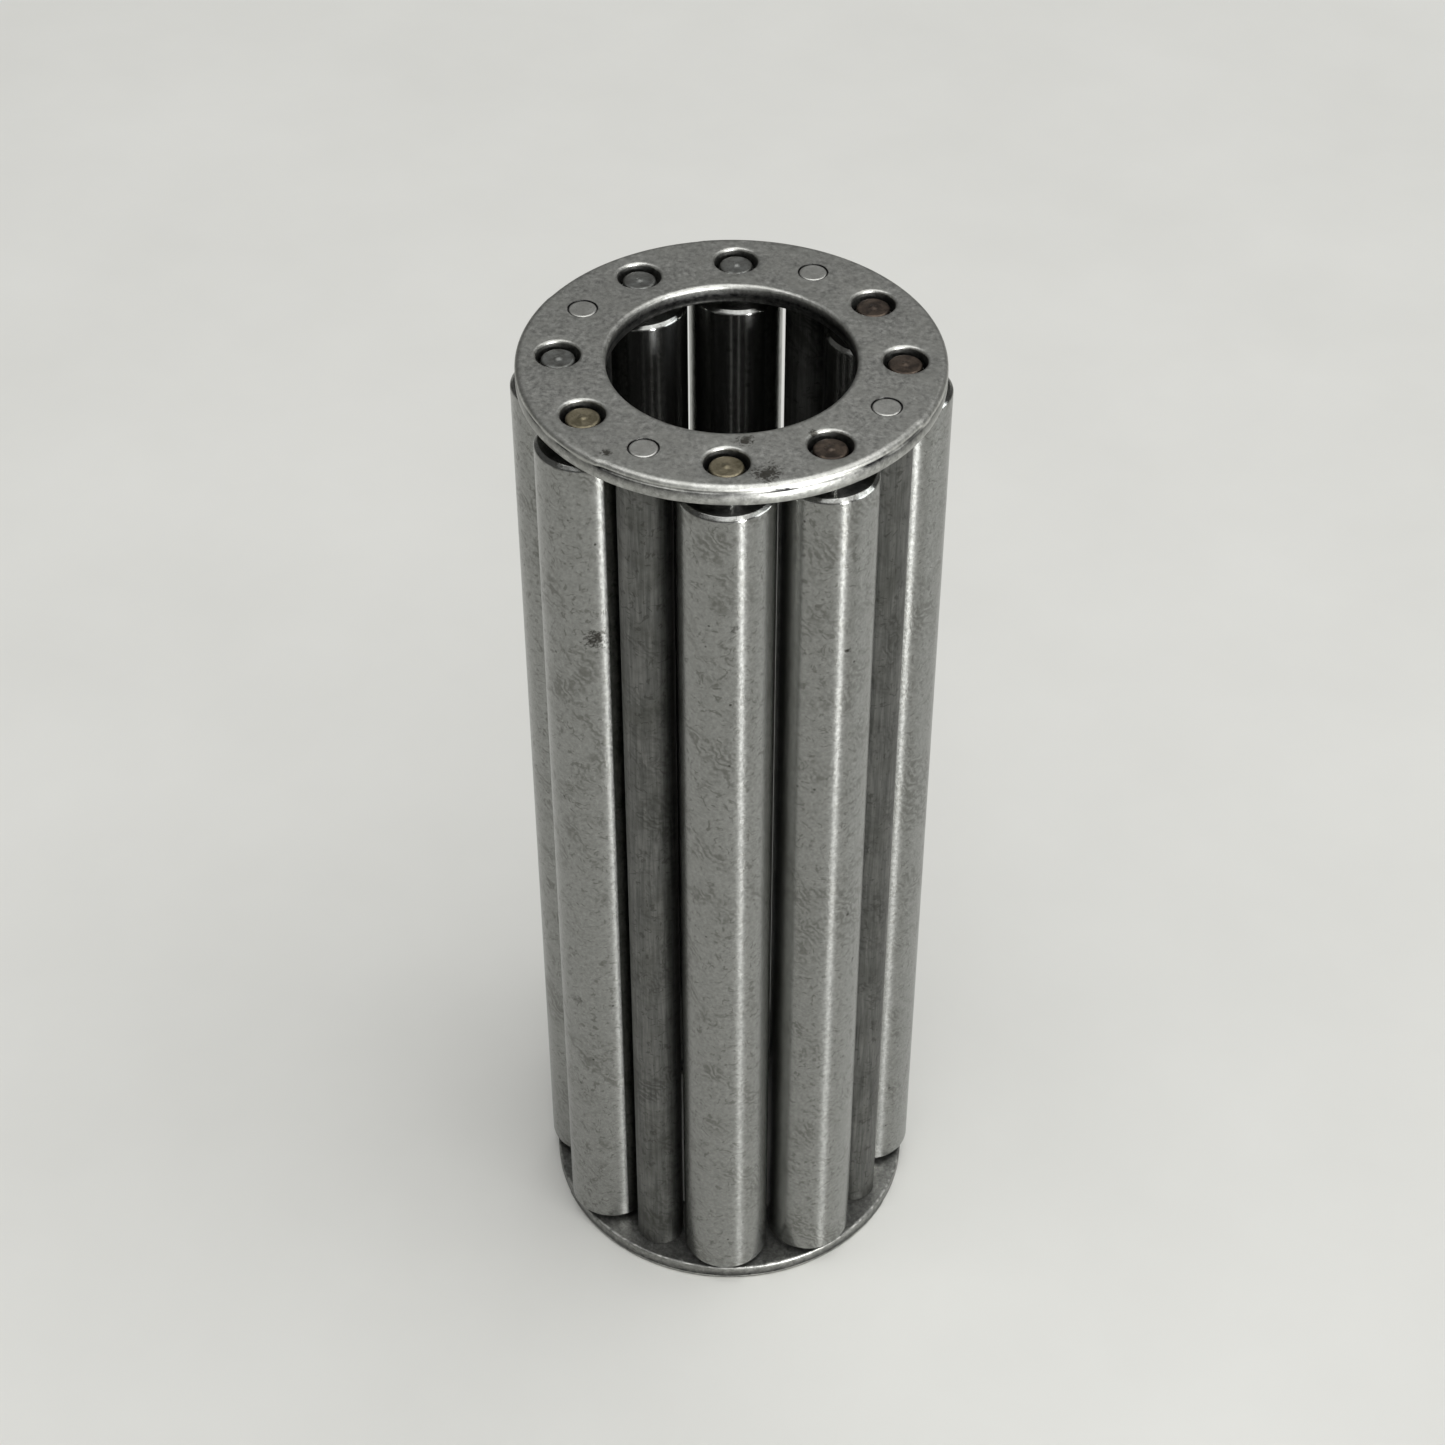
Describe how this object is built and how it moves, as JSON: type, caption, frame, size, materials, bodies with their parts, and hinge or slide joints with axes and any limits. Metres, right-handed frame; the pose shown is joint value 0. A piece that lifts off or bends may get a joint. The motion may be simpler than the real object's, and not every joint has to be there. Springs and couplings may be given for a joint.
{
  "type": "needle roller bearing",
  "caption": "Long caged roller bearing: flat ring end plates joined by riveted stay bars, with pin-ended rollers that spin loose in the plates' holes round an open bore.",
  "frame": {"origin": "centre of the underside of the lower end plate, on the bearing's axis", "axes": "+Z along the bearing's axis, from the lower end plate to the upper one; +X through one stay bar"},
  "size_m": [0.0436, 0.0436, 0.122],
  "materials": {
    "plate_steel": "matte tumbled steel sheet with bright rounded edges",
    "roller_steel": "ground and polished bearing steel with a thin film of oil",
    "stay_steel": "dull drawn steel bar"
  },
  "bodies": {
    "cage": {"top_plate": "plate_steel", "bottom_plate": "plate_steel", "stay_bar_1": "stay_steel", "stay_bar_2": "stay_steel", "stay_bar_3": "stay_steel", "stay_bar_4": "stay_steel"},
    "roller_1_body": {"roller_1": "roller_steel"},
    "roller_2_body": {"roller_2": "roller_steel"},
    "roller_3_body": {"roller_3": "roller_steel"},
    "roller_4_body": {"roller_4": "roller_steel"},
    "roller_5_body": {"roller_5": "roller_steel"},
    "roller_6_body": {"roller_6": "roller_steel"},
    "roller_7_body": {"roller_7": "roller_steel"},
    "roller_8_body": {"roller_8": "roller_steel"}
  },
  "joints": [
    {"name": "roller_1_spin", "type": "hinge", "parent": "cage", "child": "roller_1_body", "pos_m": [0.01552, 0.00809, 0.06075], "axis": [0, 0, 1], "continuous": true},
    {"name": "roller_2_spin", "type": "hinge", "parent": "cage", "child": "roller_2_body", "pos_m": [0.00809, 0.01552, 0.06075], "axis": [0, 0, 1], "continuous": true},
    {"name": "roller_3_spin", "type": "hinge", "parent": "cage", "child": "roller_3_body", "pos_m": [-0.00809, 0.01552, 0.06075], "axis": [0, 0, 1], "continuous": true},
    {"name": "roller_4_spin", "type": "hinge", "parent": "cage", "child": "roller_4_body", "pos_m": [-0.01552, 0.00809, 0.06075], "axis": [0, 0, 1], "continuous": true},
    {"name": "roller_5_spin", "type": "hinge", "parent": "cage", "child": "roller_5_body", "pos_m": [-0.01552, -0.00809, 0.06075], "axis": [0, 0, 1], "continuous": true},
    {"name": "roller_6_spin", "type": "hinge", "parent": "cage", "child": "roller_6_body", "pos_m": [-0.00809, -0.01552, 0.06075], "axis": [0, 0, 1], "continuous": true},
    {"name": "roller_7_spin", "type": "hinge", "parent": "cage", "child": "roller_7_body", "pos_m": [0.00809, -0.01552, 0.06075], "axis": [0, 0, 1], "continuous": true},
    {"name": "roller_8_spin", "type": "hinge", "parent": "cage", "child": "roller_8_body", "pos_m": [0.01552, -0.00809, 0.06075], "axis": [0, 0, 1], "continuous": true}
  ]
}
